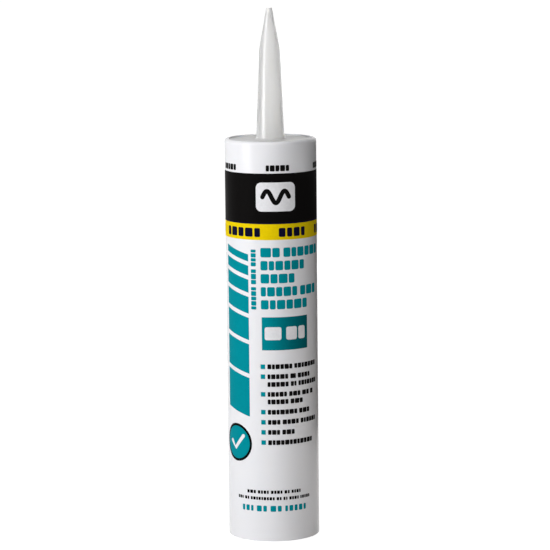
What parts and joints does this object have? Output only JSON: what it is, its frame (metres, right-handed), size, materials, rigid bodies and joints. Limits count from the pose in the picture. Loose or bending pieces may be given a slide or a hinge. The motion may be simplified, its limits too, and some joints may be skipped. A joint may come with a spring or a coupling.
{
  "type": "caulk tube",
  "caption": "Sealant cartridge: white straight barrel with turned-in front rim, closed tapering spout, sliding rear plunger.",
  "frame": {"origin": "centre of the barrel's rear rim, the face that the tube stands on", "axes": "+Z along the barrel towards the spout; the part is round about Z, and -Y is the side that faces the viewer"},
  "size_m": [0.0492, 0.0492, 0.2853],
  "materials": {
    "barrel_plastic": "satin white with printed bands",
    "nozzle_plastic": "natural, slightly translucent",
    "seal_foil": "foil",
    "plunger_plastic": "natural",
    "sealant": "smooth paste"
  },
  "bodies": {
    "cartridge": {"barrel": "barrel_plastic", "nozzle_head": "nozzle_plastic", "inner_seal": "seal_foil", "caulk_fill": "sealant"},
    "plunger": {"plunger": "plunger_plastic"}
  },
  "joints": [
    {"name": "plunger_slide", "type": "slide", "parent": "cartridge", "child": "plunger", "axis": [0, 0, 1], "range_m": [0, 0.1715], "deforming": ["caulk_fill"]}
  ]
}
